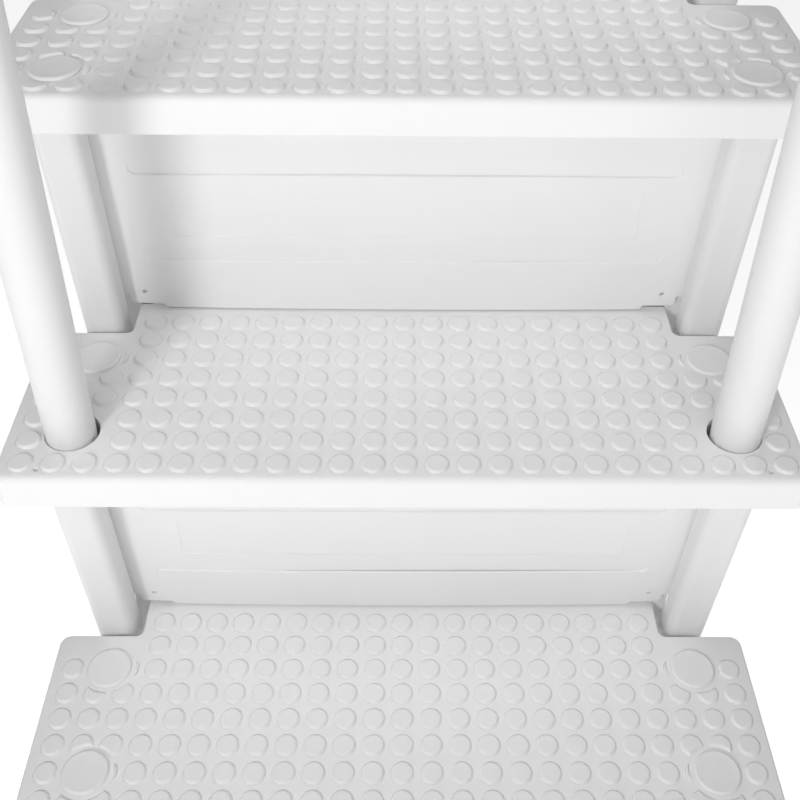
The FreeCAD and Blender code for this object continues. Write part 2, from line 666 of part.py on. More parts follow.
# ---------------------------------------------------------------- the whole ladder
def build():
    nodes = {}
    for level in range(1, LEVELS + 1):
        nodes[f"tread_{level}"] = tread(level)
        nodes[f"tread_caps_{level}"] = caps(level)
        nodes[f"riser_{level}"] = riser(level)
    for name, side in SIDES.items():
        for level in range(1, LEVELS + 1):
            for place in LEG_ROWS:
                nodes[f"leg_{place}_{name}_{level}"] = leg(level, place, side)
        nodes[f"base_rail_{name}"] = base_rail(side)
        nodes[f"foot_pads_{name}"] = foot_pads(side)
        tubes, joiners, screws = handrail(side)
        centre = flange_centre(side)
        bolt = pivot_bolt(centre)
        tubes["drop"] = tubes["drop"].cut(bolt)
        for part, tube in tubes.items():
            nodes[f"handrail_{name}_{part}"] = tube
        nodes[f"handrail_{name}_joiners"] = Part.makeCompound(joiners)
        nodes[f"handrail_{name}_screws"] = Part.makeCompound(screws)
        nodes[f"rail_spigot_{name}"] = spigot(side)
        nodes[f"deck_flange_{name}"] = deck_flange(centre)
        nodes[f"pivot_bolt_{name}"] = bolt
    for place, y in crossbar_y().items():
        nodes[f"base_crossbar_{place}"] = crossbar(y)
    nodes["base_screws"] = Part.makeCompound(base_screws())
    screws = Part.makeCompound(riser_screws())
    nodes["riser_screws"] = screws
    for level in range(1, LEVELS):
        nodes[f"tread_{level}"] = nodes[f"tread_{level}"].cut(screws)
    return nodes


os.makedirs("parts", exist_ok=True)
whole = FreeCAD.BoundBox()
for node, shape in build().items():
    shape.exportStep(f"parts/{node}.step")
    whole.add(shape.BoundBox)
    print(f"{node:26} solids {len(shape.Solids):2} valid {shape.isValid()} cm3 {shape.Volume / 1000:.1f}")
print("bounding box", whole)
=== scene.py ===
"""Looks of the pool ladder: studded treads, plugs, risers, legs and handrails in a white studio."""
import json
import math

import bpy
import bmesh
from mathutils import Matrix, Vector, geometry


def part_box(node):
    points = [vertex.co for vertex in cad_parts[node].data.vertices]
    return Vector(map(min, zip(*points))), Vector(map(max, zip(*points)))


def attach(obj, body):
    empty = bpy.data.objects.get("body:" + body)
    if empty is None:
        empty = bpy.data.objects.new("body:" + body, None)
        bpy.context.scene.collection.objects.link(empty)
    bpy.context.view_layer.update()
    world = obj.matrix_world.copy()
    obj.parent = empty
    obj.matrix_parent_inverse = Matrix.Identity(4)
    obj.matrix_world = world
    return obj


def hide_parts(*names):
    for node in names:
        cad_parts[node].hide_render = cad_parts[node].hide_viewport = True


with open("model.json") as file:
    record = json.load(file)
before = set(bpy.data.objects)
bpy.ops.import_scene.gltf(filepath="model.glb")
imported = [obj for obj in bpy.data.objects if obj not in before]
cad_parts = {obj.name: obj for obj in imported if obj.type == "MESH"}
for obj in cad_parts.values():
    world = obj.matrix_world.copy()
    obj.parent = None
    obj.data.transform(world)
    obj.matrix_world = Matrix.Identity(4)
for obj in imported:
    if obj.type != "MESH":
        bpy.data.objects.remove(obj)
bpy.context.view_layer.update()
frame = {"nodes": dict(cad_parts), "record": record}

# ---------------------------------------------------------------- sizes, in metres
MM = 0.001
PITCH = 31.75 * MM
LEVELS = range(1, 5)
SIDES = {"left": -1, "right": 1}
RAIL_LEVEL = 2
LEAN = math.radians(7.2)

# treads, measured from row 1 and the top surface
FRONT = 7.7 * PITCH
HALF_WIDTH = 12.8 * PITCH
SHOULDER = 0.5 * PITCH
NOTCH_X = 9.8 * PITCH
BACK = 39.2 * MM
CORNER = 14 * MM
NOTCH_CORNER = 6 * MM
HEIGHT = 40 * MM
SKIN = 4 * MM
STUD_ROWS = range(1, 9)
STUD_COLUMNS = 12                # to each side of the middle column
SHORT_ROWS, SHORT_COLUMNS = 2, 9 # the first rows stay within the width between the notches
STUD_RADIUS = 0.405 * PITCH
STUD_HEIGHT = 2.8 * MM
STUD_PROFILE = ((-0.7, 0), (-0.45, -0.25), (-0.05, -0.25), (0.15, 0), (0.4, 0.15),
                (1.9, 0.82), (2.3, 0.94), (2.7, 0.99), (3.3, 1.0),
                (4.2, 0.98))     # (mm inwards, share of the height), with a narrow moat outside
STUD_SLIVER = 1.5 * MM           # a stud that shows less than this beside a cap is left out
CLEAR_RADIUS = 0.97 * PITCH      # flat ring round a cap or handrail
LEG_X = 10.79 * PITCH
LEG_ROWS = (7.53, 3.53)
CAP_X = 10.67 * PITCH
CAP_ROWS = {"front": 7, "rear": 3}
CAP_HOLE = 19 * MM
CAP_RADIUS = 0.80 * PITCH
CAP_HEIGHT = 3.8 * MM
CAP_WALL, CAP_SKIRT = 2.5 * MM, 3.5 * MM
CAP_PROFILE = ((0.95, 0.0), (0.955, 0.18), (0.99, 0.22), (1.0, 0.32), (0.985, 0.55), (0.94, 0.92),
               (0.90, 1.0), (0.86, 0.97), (0.82, 0.9), (0.6, 0.85),
               (0.3, 0.82))      # (share of the radius, share of the height)
RAIL_HOLE_X, RAIL_HOLE_ROW, RAIL_HOLE = 10.70 * PITCH, 6.6, 27.9 * MM
LOCK_HOLE_X, LOCK_HOLE_ROW, LOCK_HOLE_RADIUS = 11.45 * PITCH, 8.27, 2.5 * MM
ROUND_COUNT, SMALL_ROUND_COUNT = 64, 24  # points round a large or a small hole
RIB_THICKNESS, RIB_DEPTH, RIB_OVERLAP = 3 * MM, 22 * MM, 1 * MM
RIB_ROWS, RIB_COLUMNS = (2, 5, 8), (-8, -4, 0, 4, 8)
RIB_INSET = 2 * MM               # the ribs end inside the skirt
SOCKET_PROFILE = ((4.2, -SKIN), (4.2, -HEIGHT + 1 * MM), (3.4, -HEIGHT), (0.2, -HEIGHT),
                  (0.2, -SKIN))  # (mm outside the leg, z)
CUP_WALL, CUP_LIFT, CUP_OVERLAP = 3.5 * MM, 7 * MM, 0.5 * MM
LIP_THICKNESS, LIP_INSET, LIP_UP, LIP_DOWN = 4.7 * MM, 1 * MM, 5 * MM, 2 * MM
EAR_WIDTH, EAR_UP, EAR_DOWN = 33 * MM, 34 * MM, 62 * MM
HOOK_REACH = 8 * MM              # the ear reaches this far behind the next leg

# legs
LEG_WIDTH, LEG_DEPTH, LEG_CORNER, LEG_WALL = 46 * MM, 40 * MM, 11 * MM, 3 * MM

# risers, measured up the panel from the tread
RISER_THICKNESS = 6 * MM
RISER_HALF = 10.3 * PITCH
FOOT_HALF = 9.98 * PITCH
FOOT_HEIGHT = 0.75 * PITCH
MIDDLE_HALF = 8.7 * PITCH
FOOT_LIFT, FOOT_GAP, FOOT_CLEAR = 8.3 * MM, 0.8 * MM, 2.3 * MM
BOW = 3.5 * MM                   # the foot of a riser bulges forward in the middle
CHANNEL_HALF = 9.15 * PITCH
CHANNEL_HEIGHT = 0.56 * PITCH
CHANNELS_UP = (2.66 * PITCH, 6.51 * PITCH)
CHANNEL_DEPTH, CHANNEL_SLOPE = 2 * MM, 1 * MM
CHANNEL_ROOM = 5 * MM            # a channel nearer than this to the panel's top is left out
FRAME_HALF, FRAME_LOW, FRAME_HIGH = 7.97 * PITCH, 3.57 * PITCH, 5.6 * PITCH
FRAME_CORNER, FRAME_DEPTH, FRAME_SLOPE = 1.6 * MM, 0.9 * MM, 0.5 * MM
SCREW_X, SCREW_UP, SCREW_HOLE = 9.42 * PITCH, 0.85 * PITCH, 2.7 * MM

# handrails
RAIL_RADIUS, RAIL_WALL = 25.4 * MM, 2.5 * MM
RAIL_FORWARD, RAIL_INWARD = math.radians(7.2), math.radians(2.75)
RAIL_TOP, RAIL_BEND, RAIL_INSERT = 2010 * MM, 130 * MM, 22 * MM
RAIL_HOLE_SHIFT = 1.2 * MM

# studio
FLOOR_HALF, FLOOR_CORNER, FLOOR_GLOW = 14.0, 0.5, 0.71
WORLD_LIGHT = 0.15
AIM = (0, 0, 0.75)
LAMPS = {"key_left": ((-0.9, -2.2, 1.65), 0.45, 18), "fill_right": ((0.7, -1.2, 1.4), 0.35, 0.4),
         "softbox_front": ((0, -2.4, 2.6), 2.0, 7), "softbox_top": ((0, -1.2, 3.2), 2.5, 20)}
CAMERA_PLACE = (-0.0119, -1.0722, 1.4521)
CAMERA_PITCH = math.radians(37.348)
CAMERA_ROLL, CAMERA_YAW = math.radians(0.854), math.radians(0.898)
CAMERA_LENS = 49.72
CAMERA_SHIFT = (-0.0094, -0.1336)


# ---------------------------------------------------------------- flat outlines
def rounded_loop(corners, steps=6):
    """Points of a closed outline through (x, y, radius) corners, counter-clockwise, each an arc."""
    points = []
    flat = [Vector((x, y)) for x, y, radius in corners]
    for i, (x, y, radius) in enumerate(corners):
        back = (flat[i - 1] - flat[i]).normalized()
        ahead = (flat[(i + 1) % len(flat)] - flat[i]).normalized()
        half = back.angle(ahead) / 2
        centre = flat[i] + (back + ahead).normalized() * (radius / math.sin(half))
        start = flat[i] + back * (radius / math.tan(half)) - centre
        turn = math.pi - 2 * half
        if back.x * ahead.y - back.y * ahead.x > 0:
            turn = -turn
        for step in range(steps + 1):
            angle = turn * step / steps
            c, s = math.cos(angle), math.sin(angle)
            points.append(centre + Vector((start.x * c - start.y * s, start.x * s + start.y * c)))
    return points


def circle(x, y, radius, count=32):
    return [Vector((x + radius * math.cos(2 * math.pi * i / count),
                    y + radius * math.sin(2 * math.pi * i / count))) for i in range(count)]


def rectangle(half, low, high, radius):
    return [(-half, low, radius), (half, low, radius), (half, high, radius), (-half, high, radius)]


def square(x, y, width, depth, radius):
    w, d = width / 2, depth / 2
    return [(x - w, y - d, radius), (x + w, y - d, radius),
            (x + w, y + d, radius), (x - w, y + d, radius)]


def mirrored(corners):
    """The same corners on the other side, in the order that closes the outline."""
    return [(-x, y, radius) for x, y, radius in reversed(corners)]


def lift(outline, z):
    return [Vector((p.x, p.y, z)) for p in outline]


# ---------------------------------------------------------------- meshes
class Shell:
    """Collects the rings and faces of one piece."""

    def __init__(self):
        self.points = []
        self.faces = []

    def ring(self, points):
        start = len(self.points)
        self.points += [Vector(p) for p in points]
        return list(range(start, start + len(points)))

    def bridge(self, one, other):
        count = len(one)
        for i in range(count):
            j = (i + 1) % count
            self.faces.append((one[i], one[j], other[j], other[i]))

    def rings(self, loops):
        """Bridges a list of point loops in order and returns the first and last ring."""
        made = [self.ring(loop) for loop in loops]
        for one, other in zip(made, made[1:]):
            self.bridge(one, other)
        return made[0], made[-1]

    def plate(self, outer, holes=()):
        """Flat face inside the outer ring and outside the holes."""
        loops = [outer] + list(holes)
        indices = [i for loop in loops for i in loop]
        flat = [self.points[i].xy for i in indices]
        inputs, start = [], 0
        for loop in loops:
            inputs.append(list(range(start, start + len(loop))))
            start += len(loop)
        made = geometry.delaunay_2d_cdt(flat, [], inputs, 1, 1e-8)
        for face, sources in zip(made[2], made[5]):
            if set(sources) == {0}:
                self.faces.append(tuple(indices[made[3][v][0]] for v in face))

    def solid(self, loops):
        """Closed piece between flat end rings."""
        first, last = self.rings(loops)
        self.faces.append(tuple(first))
        self.faces.append(tuple(last))

    def piece(self, name, material, matrix=Matrix.Identity(4), sharp=40):
        mesh = bpy.data.meshes.new(name)
        mesh.from_pydata([matrix @ p for p in self.points], [], self.faces)
        editing = bmesh.new()
        editing.from_mesh(mesh)
        bmesh.ops.recalc_face_normals(editing, faces=editing.faces)
        editing.to_mesh(mesh)
        editing.free()
        mesh.shade_smooth()
        mesh.set_sharp_from_angle(angle=math.radians(sharp))
        mesh.materials.append(material)
        item = bpy.data.objects.new(name, mesh)
        bpy.context.scene.collection.objects.link(item)
        even = item.modifiers.new("even", "WEIGHTED_NORMAL")
        even.keep_sharp = True
        even.weight = 100
        return item


def box_solid(shell, low, high, bevel=0.6 * MM):
    """Box with bevelled edges."""
    outline = [(low[0], low[1]), (high[0], low[1]), (high[0], high[1]), (low[0], high[1])]
    corners = [(x, y, 2 * bevel) for x, y in outline]
    inner = [(x + (bevel if x == low[0] else -bevel), y + (bevel if y == low[1] else -bevel), bevel)
             for x, y in outline]
    narrow, wide = rounded_loop(inner, 3), rounded_loop(corners, 3)
    shell.solid([lift(narrow, low[2]), lift(wide, low[2] + bevel),
                 lift(wide, high[2] - bevel), lift(narrow, high[2])])


def finish_piece(item, body, slot, *nodes):
    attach(item, body)
    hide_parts(*nodes)


# ---------------------------------------------------------------- materials
def plastic(name, colour, roughness, grain=0.12, streaks=0.0, mottle=0.02):
    """Satin moulded plastic: fine grain, faint cloudiness, and drawing lines on extruded parts."""
    material = bpy.data.materials.new(name)
    material.use_nodes = True
    nodes, links = material.node_tree.nodes, material.node_tree.links
    shader = nodes["Principled BSDF"]
    shader.inputs["Specular IOR Level"].default_value = 0.4
    place = nodes.new("ShaderNodeTexCoord")

    def noise(scale, detail, stretch=(1, 1, 1)):
        mapping = nodes.new("ShaderNodeMapping")
        mapping.inputs["Scale"].default_value = stretch
        texture = nodes.new("ShaderNodeTexNoise")
        texture.inputs["Scale"].default_value = scale
        texture.inputs["Detail"].default_value = detail
        links.new(place.outputs["Object"], mapping.inputs["Vector"])
        links.new(mapping.outputs["Vector"], texture.inputs["Vector"])
        return texture.outputs["Fac"]

    def spread(source, low, high):
        ranged = nodes.new("ShaderNodeMapRange")
        ranged.inputs["From Min"].default_value = 0.3
        ranged.inputs["From Max"].default_value = 0.7
        ranged.inputs["To Min"].default_value = low
        ranged.inputs["To Max"].default_value = high
        links.new(source, ranged.inputs["Value"])
        return ranged.outputs["Result"]

    cloud = noise(9, 4)
    tint = nodes.new("ShaderNodeMix")
    tint.data_type = "RGBA"
    tint.inputs["A"].default_value = (*[c * (1 - mottle) for c in colour], 1)
    tint.inputs["B"].default_value = (*colour, 1)
    links.new(spread(cloud, 0, 1), tint.inputs["Factor"])
    links.new(tint.outputs["Result"], shader.inputs["Base Color"])
    links.new(spread(noise(30, 5), roughness - 0.05, roughness + 0.05), shader.inputs["Roughness"])

    bump = nodes.new("ShaderNodeBump")
    bump.inputs["Strength"].default_value = grain
    bump.inputs["Distance"].default_value = 0.2 * MM
    links.new(noise(1400, 3), bump.inputs["Height"])
    last = bump
    if streaks:
        lines = nodes.new("ShaderNodeBump")
        lines.inputs["Strength"].default_value = streaks
        lines.inputs["Distance"].default_value = 0.4 * MM
        links.new(noise(420, 2, (1, 1, 0.01)), lines.inputs["Height"])
        links.new(bump.outputs["Normal"], lines.inputs["Normal"])
        last = lines
    links.new(last.outputs["Normal"], shader.inputs["Normal"])
    return material


def steel(name):
    material = bpy.data.materials.new(name)
    material.use_nodes = True
    nodes, links = material.node_tree.nodes, material.node_tree.links
    shader = nodes["Principled BSDF"]
    shader.inputs["Metallic"].default_value = 1.0
    place = nodes.new("ShaderNodeTexCoord")
    texture = nodes.new("ShaderNodeTexNoise")
    texture.inputs["Scale"].default_value = 600
    links.new(place.outputs["Object"], texture.inputs["Vector"])
    ramp = nodes.new("ShaderNodeMapRange")
    ramp.inputs["To Min"].default_value = 0.28
    ramp.inputs["To Max"].default_value = 0.5
    links.new(texture.outputs["Fac"], ramp.inputs["Value"])
    links.new(ramp.outputs["Result"], shader.inputs["Roughness"])
    shader.inputs["Base Color"].default_value = (0.6, 0.6, 0.61, 1)
    return material


WHITE = (0.93, 0.93, 0.93)
# painted shade: legs and handrails get a darker white than the treads, so the strongly lit tubes come
# out less bright
TUBE_WHITE_PAINTED_SHADE = (0.86, 0.86, 0.86)
# painted light: the risers get a brighter white than the treads, to lift the panels that sit in less
# light under the treads
RISER_WHITE_PAINTED_LIGHT = (0.96, 0.96, 0.96)
tread_plastic = plastic("tread_plastic", WHITE, 0.5, grain=0.18)
cap_plastic = plastic("cap_plastic", WHITE, 0.45, grain=0.1)
# riser_plastic carries the brighter riser white, which is painted light
riser_plastic = plastic("riser_plastic", RISER_WHITE_PAINTED_LIGHT, 0.48, grain=0.12)
# leg_plastic and rail_plastic carry the darker tube white, which is painted shade
leg_plastic = plastic("leg_plastic", TUBE_WHITE_PAINTED_SHADE, 0.42, grain=0.08, streaks=0.12)
rail_plastic = plastic("rail_plastic", TUBE_WHITE_PAINTED_SHADE, 0.38, grain=0.06, streaks=0.16)
base_plastic = plastic("base_plastic", WHITE, 0.5, grain=0.2)
flange_plastic = plastic("flange_plastic", WHITE, 0.45, grain=0.12)
inner_plastic = plastic("inner_plastic", (0.7, 0.7, 0.7), 0.5)
pad_rubber = plastic("pad_rubber", (0.62, 0.62, 0.61), 0.75, grain=0.35, mottle=0.08)
screw_steel = steel("screw_steel")


# ---------------------------------------------------------------- treads
def tread_outline(front_inset, inset):
    """Plan of a tread: full width in front, narrower where it reaches under the riser."""
    corner = max(CORNER - inset, 1 * MM)
    right = [(HALF_WIDTH - inset, -FRONT + front_inset, corner),
             (HALF_WIDTH - inset, -SHOULDER - inset, corner),
             (NOTCH_X - inset, -SHOULDER - inset, NOTCH_CORNER + inset),
             (NOTCH_X - inset, BACK - inset, 3 * MM)]
    return rounded_loop(right + mirrored(right))


def leg_places():
    for side in SIDES.values():
        for row in LEG_ROWS:
            yield Vector((side * LEG_X, -(row - 1) * PITCH))


def cap_places(level):
    for side in SIDES.values():
        for place, row in CAP_ROWS.items():
            if not (level == RAIL_LEVEL and place == "front"):
                yield Vector((side * CAP_X, -(row - 1) * PITCH))


def rail_hole(side):
    return Vector((side * RAIL_HOLE_X, -(RAIL_HOLE_ROW - 1) * PITCH))


def rail_direction(side):
    return Vector((-side * math.tan(RAIL_INWARD), -math.tan(RAIL_FORWARD), 1)).normalized()


def stud_ring(centre, radius, clear, around, count=32):
    """Ring of a stud, cut back to the clear circle round a cap if it reaches into one."""
    offset = around - centre if around is not None else None
    distance = offset.length if offset else 0
    if not offset or distance - radius >= clear:
        return circle(centre.x, centre.y, radius, count)
    toward = math.atan2(offset.y, offset.x)
    reach = math.acos((distance ** 2 + radius ** 2 - clear ** 2) / (2 * distance * radius))
    sweep = math.acos((distance ** 2 + clear ** 2 - radius ** 2) / (2 * distance * clear))
    outer = count * 3 // 4
    points = []
    for i in range(outer):
        angle = toward + reach + (2 * math.pi - 2 * reach) * i / (outer - 1)
        points.append(centre + radius * Vector((math.cos(angle), math.sin(angle))))
    inner = count - outer
    for i in range(1, inner + 1):
        angle = toward + math.pi + sweep - 2 * sweep * i / (inner + 1)
        points.append(around + clear * Vector((math.cos(angle), math.sin(angle))))
    return points


def add_stud(shell, level, column, row):
    """Adds a stud and its narrow moat. Returns the outer ring, or None where there is no room."""
    centre = Vector((column * PITCH, -(row - 1) * PITCH))
    if level == RAIL_LEVEL and any((rail_hole(side) - centre).length < CLEAR_RADIUS
                                   for side in SIDES.values()):
        return None
    around, ease = None, MM
    for cap in cap_places(level):
        distance = (cap - centre).length
        if distance + STUD_RADIUS < CLEAR_RADIUS + STUD_SLIVER:
            return None
        if distance - STUD_RADIUS < CLEAR_RADIUS:
            around = cap
            ease = min(MM, (distance + STUD_RADIUS - CLEAR_RADIUS) * 0.4 / STUD_PROFILE[-1][0])
    loops = []
    for inset, rise in STUD_PROFILE:
        ring = stud_ring(centre, STUD_RADIUS - inset * ease, CLEAR_RADIUS + inset * ease, around)
        loops.append(lift(ring, rise * STUD_HEIGHT))
    first, last = shell.rings(loops)
    shell.faces.append(tuple(last))
    return first


def tread_profile():
    """(front inset, side inset, z) from the top's edge, down the outside and up inside the skirt."""
    nose_depth, nose_height, side_depth, draft = 7 * MM, 8 * MM, 3.5 * MM, 0.7 * MM
    steps = []
    for i in range(7):
        turn = math.pi / 2 * (1 - i / 6)
        inward = 1 - math.cos(turn)
        steps.append((draft + nose_depth * inward, draft + side_depth * inward,
                      -nose_height * (1 - math.sin(turn))))
    steps += [(0, 0, -HEIGHT + 1.6 * MM), (0.5 * MM, 0.5 * MM, -HEIGHT + 0.45 * MM),
              (1.5 * MM, 1.5 * MM, -HEIGHT), (SKIN, SKIN, -HEIGHT),
              (SKIN + draft, SKIN + draft, -SKIN - 2 * MM), (SKIN + 2 * MM, SKIN + 2 * MM, -SKIN)]
    return steps


def tread_holes(level):
    """(x, y, radius) of the round holes through a tread."""
    for cap in cap_places(level):
        yield cap.x, cap.y, CAP_HOLE
    if level == RAIL_LEVEL:
        for side in SIDES.values():
            yield *rail_hole(side), RAIL_HOLE
            yield side * LOCK_HOLE_X, -(LOCK_HOLE_ROW - 1) * PITCH, LOCK_HOLE_RADIUS


def build_tread(level, body):
    shell = Shell()
    first, last = shell.rings([lift(tread_outline(a, b), z) for a, b, z in tread_profile()])
    tops, bottoms = [], []
    for x, y, radius in tread_holes(level):
        edge = min(0.9 * MM, radius * 0.2)
        count = SMALL_ROUND_COUNT if radius == LOCK_HOLE_RADIUS else ROUND_COUNT
        top, bottom = shell.rings([lift(circle(x, y, radius + edge, count), 0),
                                   lift(circle(x, y, radius + edge * 0.3, count), -edge * 0.3),
                                   lift(circle(x, y, radius, count), -edge),
                                   lift(circle(x, y, radius, count), -SKIN)])
        tops.append(top)
        bottoms.append(bottom)
    for row in STUD_ROWS:
        columns = SHORT_COLUMNS if row <= SHORT_ROWS else STUD_COLUMNS
        for column in range(-columns, columns + 1):
            ring = add_stud(shell, level, column, row)
            if ring:
                tops.append(ring)
    shell.plate(first, tops)
    shell.plate(last, bottoms)
    add_underside(shell, level)
    if level < LEVELS[-1]:
        add_lip(shell)
    place = Matrix.Translation((0, row_one_y(level), tread_top(level)))
    item = shell.piece(f"tread_{level}_moulding", tread_plastic, place)
    finish_piece(item, body, "tread_plastic", f"tread_{level}")


def add_underside(shell, level):
    """Sockets for the legs and stiffening ribs under the top."""
    lean = math.tan(LEAN)
    for leg in leg_places():
        loops = []
        for grow, z in SOCKET_PROFILE:
            ring = rounded_loop(square(leg.x, leg.y - z * lean, LEG_WIDTH + 2 * grow * MM,
                                       LEG_DEPTH + 2 * grow * MM, LEG_CORNER + grow * MM))
            loops.append(lift(ring, z))
        first, last = shell.rings(loops)
        shell.bridge(last, first)
    if level == RAIL_LEVEL:
        for side in SIDES.values():
            add_rail_cup(shell, side)
    low, high = -SKIN - RIB_DEPTH, -SKIN + RIB_OVERLAP
    thin = RIB_THICKNESS / 2
    for row in RIB_ROWS:
        half = (NOTCH_X if row <= SHORT_ROWS else HALF_WIDTH) - RIB_INSET
        y = -(row - 1) * PITCH
        box_solid(shell, (-half, y - thin, low), (half, y + thin, high))
    for column in RIB_COLUMNS:
        x = column * PITCH
        box_solid(shell, (x - thin, -FRONT + RIB_INSET, low), (x + thin, BACK - RIB_INSET, high))


def add_rail_cup(shell, side):
    """Leaning cup under the top that the handrail's foot stands in."""
    up = rail_direction(side)
    loops = []
    for radius, z in ((RAIL_HOLE, CUP_LIFT - HEIGHT), (RAIL_HOLE, CUP_OVERLAP - SKIN),
                      (RAIL_HOLE + CUP_WALL, CUP_OVERLAP - SKIN), (RAIL_HOLE + CUP_WALL, -HEIGHT)):
        middle = rail_hole(side) + up.xy * (z / up.z)
        loops.append(lift(circle(middle.x, middle.y, radius, ROUND_COUNT), z))
    shell.solid(loops)


def add_lip(shell):
    """Upstand behind the riser's foot, with an ear at each end that hooks behind the next leg."""
    front, half = BACK - LIP_THICKNESS, NOTCH_X - LIP_INSET
    box_solid(shell, (-half, front, -LIP_DOWN), (half, BACK, LIP_UP), 1 * MM)
    for side in SIDES.values():
        hook = LEG_X - LEG_WIDTH / 2 + HOOK_REACH
        near, far = sorted((side * hook, side * (half - EAR_WIDTH)))
        box_solid(shell, (near, front, -EAR_DOWN), (far, BACK, EAR_UP), 1.2 * MM)


def tread_top(level):
    """Z of the tread's surface, which the legs' sockets hang from."""
    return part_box(f"tread_{level}")[0][2] + HEIGHT


def row_one_y(level):
    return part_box(f"tread_{level}")[0][1] + FRONT


def build_caps(level, body):
    """Plugs over the leg sockets, with an undercut, rolled rim and a faint dish."""
    shell = Shell()
    outside, inside = CAP_HOLE - 0.3 * MM, CAP_HOLE - CAP_WALL
    z = tread_top(level)
    for cap in cap_places(level):
        centre = cap + Vector((0, row_one_y(level)))

        def cap_ring(radius, up):
            return lift(circle(centre.x, centre.y, radius, ROUND_COUNT), z + up)

        loops = [cap_ring(inside, -CAP_SKIRT), cap_ring(outside, -CAP_SKIRT), cap_ring(outside, 0)]
        loops += [cap_ring(CAP_RADIUS * radius, CAP_HEIGHT * up) for radius, up in CAP_PROFILE]
        first, last = shell.rings(loops)
        shell.faces.append(tuple(last))
        inner = shell.ring(cap_ring(inside, 0.5 * MM))
        shell.bridge(first, inner)
        shell.faces.append(tuple(inner))
    item = shell.piece(f"tread_{level}_plugs", cap_plastic)
    finish_piece(item, body, "cap_plastic", f"tread_caps_{level}")


# ---------------------------------------------------------------- risers
def riser_outline(inset, height):
    right = [(MIDDLE_HALF - inset, FOOT_CLEAR + inset, 1.5 * MM),
             (MIDDLE_HALF + 4 * MM - inset, FOOT_LIFT + inset, 1.5 * MM),
             (FOOT_HALF - inset, FOOT_LIFT + inset, 4 * MM), (FOOT_HALF - inset, FOOT_HEIGHT, 0.5 * MM),
             (RISER_HALF - inset, FOOT_HEIGHT, 0.5 * MM), (RISER_HALF - inset, height - inset, 1 * MM)]
    return spaced(rounded_loop(right + mirrored(right), 4))


def spaced(outline):
    """Cuts each edge that spans most of a riser into forty, so that a panel can bow."""
    points = []
    for i, start in enumerate(outline):
        end = outline[(i + 1) % len(outline)]
        pieces = 40 if (end - start).length > MIDDLE_HALF else 1
        points += [start.lerp(end, k / pieces) for k in range(pieces)]
    return points


def channel(shell, corners_at, depth, slope):
    """Sunk area with sloping sides. Returns its rim ring."""
    loops = []
    for part, drop in ((0, 0), (0.2, 0.06), (0.5, 0.5), (0.8, 0.94), (1, 1)):
        ring = spaced(rounded_loop(corners_at(slope * part), 8))
        loops.append(lift(ring, -depth * drop))
    first, last = shell.rings(loops)
    shell.faces.append(tuple(last))
    return first


def build_riser(level, body):
    node = f"riser_{level}"
    low, high = (Vector(corner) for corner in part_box(node))
    foot = low.z - FOOT_GAP * math.cos(LEAN)
    height = (high.z - foot) / math.cos(LEAN) - 0.2 * MM
    shell = Shell()
    back = -RISER_THICKNESS / MM
    outer = [(0.8, 0), (0.25, -0.2), (0, -0.8), (0, back + 0.5), (0.5, back)]
    first, last = shell.rings([lift(riser_outline(inset * MM, height), z * MM) for inset, z in outer])
    rims = []
    half_height = CHANNEL_HEIGHT / 2
    for up in CHANNELS_UP:
        if up + half_height + CHANNEL_ROOM < height:
            rims.append(channel(shell, lambda inset, up=up: rectangle(
                CHANNEL_HALF - inset, up - half_height + inset, up + half_height - inset,
                half_height - inset - 0.1 * MM), CHANNEL_DEPTH, CHANNEL_SLOPE))
    rims.append(channel(shell, lambda inset: rectangle(
        FRAME_HALF - inset, FRAME_LOW + inset, FRAME_HIGH - inset, FRAME_CORNER),
        FRAME_DEPTH, FRAME_SLOPE))
    holes_front, holes_back = [], []
    if level > 1:
        for side in SIDES.values():
            front, rear = shell.rings([
                lift(circle(side * SCREW_X, SCREW_UP, radius, SMALL_ROUND_COUNT), z)
                for radius, z in ((SCREW_HOLE + 0.3 * MM, 0), (SCREW_HOLE, -0.4 * MM),
                                  (SCREW_HOLE, -RISER_THICKNESS))])
            holes_front.append(front)
            holes_back.append(rear)
    shell.plate(first, rims + holes_front)
    shell.plate(last, holes_back)
    for point in shell.points:
        point.z += BOW * (1 - (point.x / RISER_HALF) ** 2) * max(0, 1 - point.y / height)
    place = (Matrix.Translation((0, high.y - RISER_THICKNESS / math.cos(LEAN), foot))
             @ Matrix.Rotation(math.pi / 2 + LEAN, 4, "X"))
    item = shell.piece(f"riser_{level}_panel", riser_plastic, place)
    finish_piece(item, body, "riser_plastic", node)


# ---------------------------------------------------------------- legs
def build_leg(node, body):
    """Leaning square tube with rounded corners, cut level at both ends."""
    low, high = (Vector(corner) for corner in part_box(node))
    x = (low.x + high.x) / 2
    slide = (high.y - low.y - LEG_DEPTH) / 2
    middle = (low.y + high.y) / 2
    shell = Shell()
    loops = []
    for z, y, inset in ((low.z, middle + slide, 0), (high.z, middle - slide, 0),
                        (high.z, middle - slide, LEG_WALL), (low.z, middle + slide, LEG_WALL)):
        loops.append(lift(rounded_loop(square(x, y, LEG_WIDTH - 2 * inset, LEG_DEPTH - 2 * inset,
                                              LEG_CORNER - inset), 10), z))
    first, last = shell.rings(loops)
    shell.bridge(last, first)
    item = shell.piece(f"{node}_tube", leg_plastic)
    finish_piece(item, body, "leg_plastic", node)


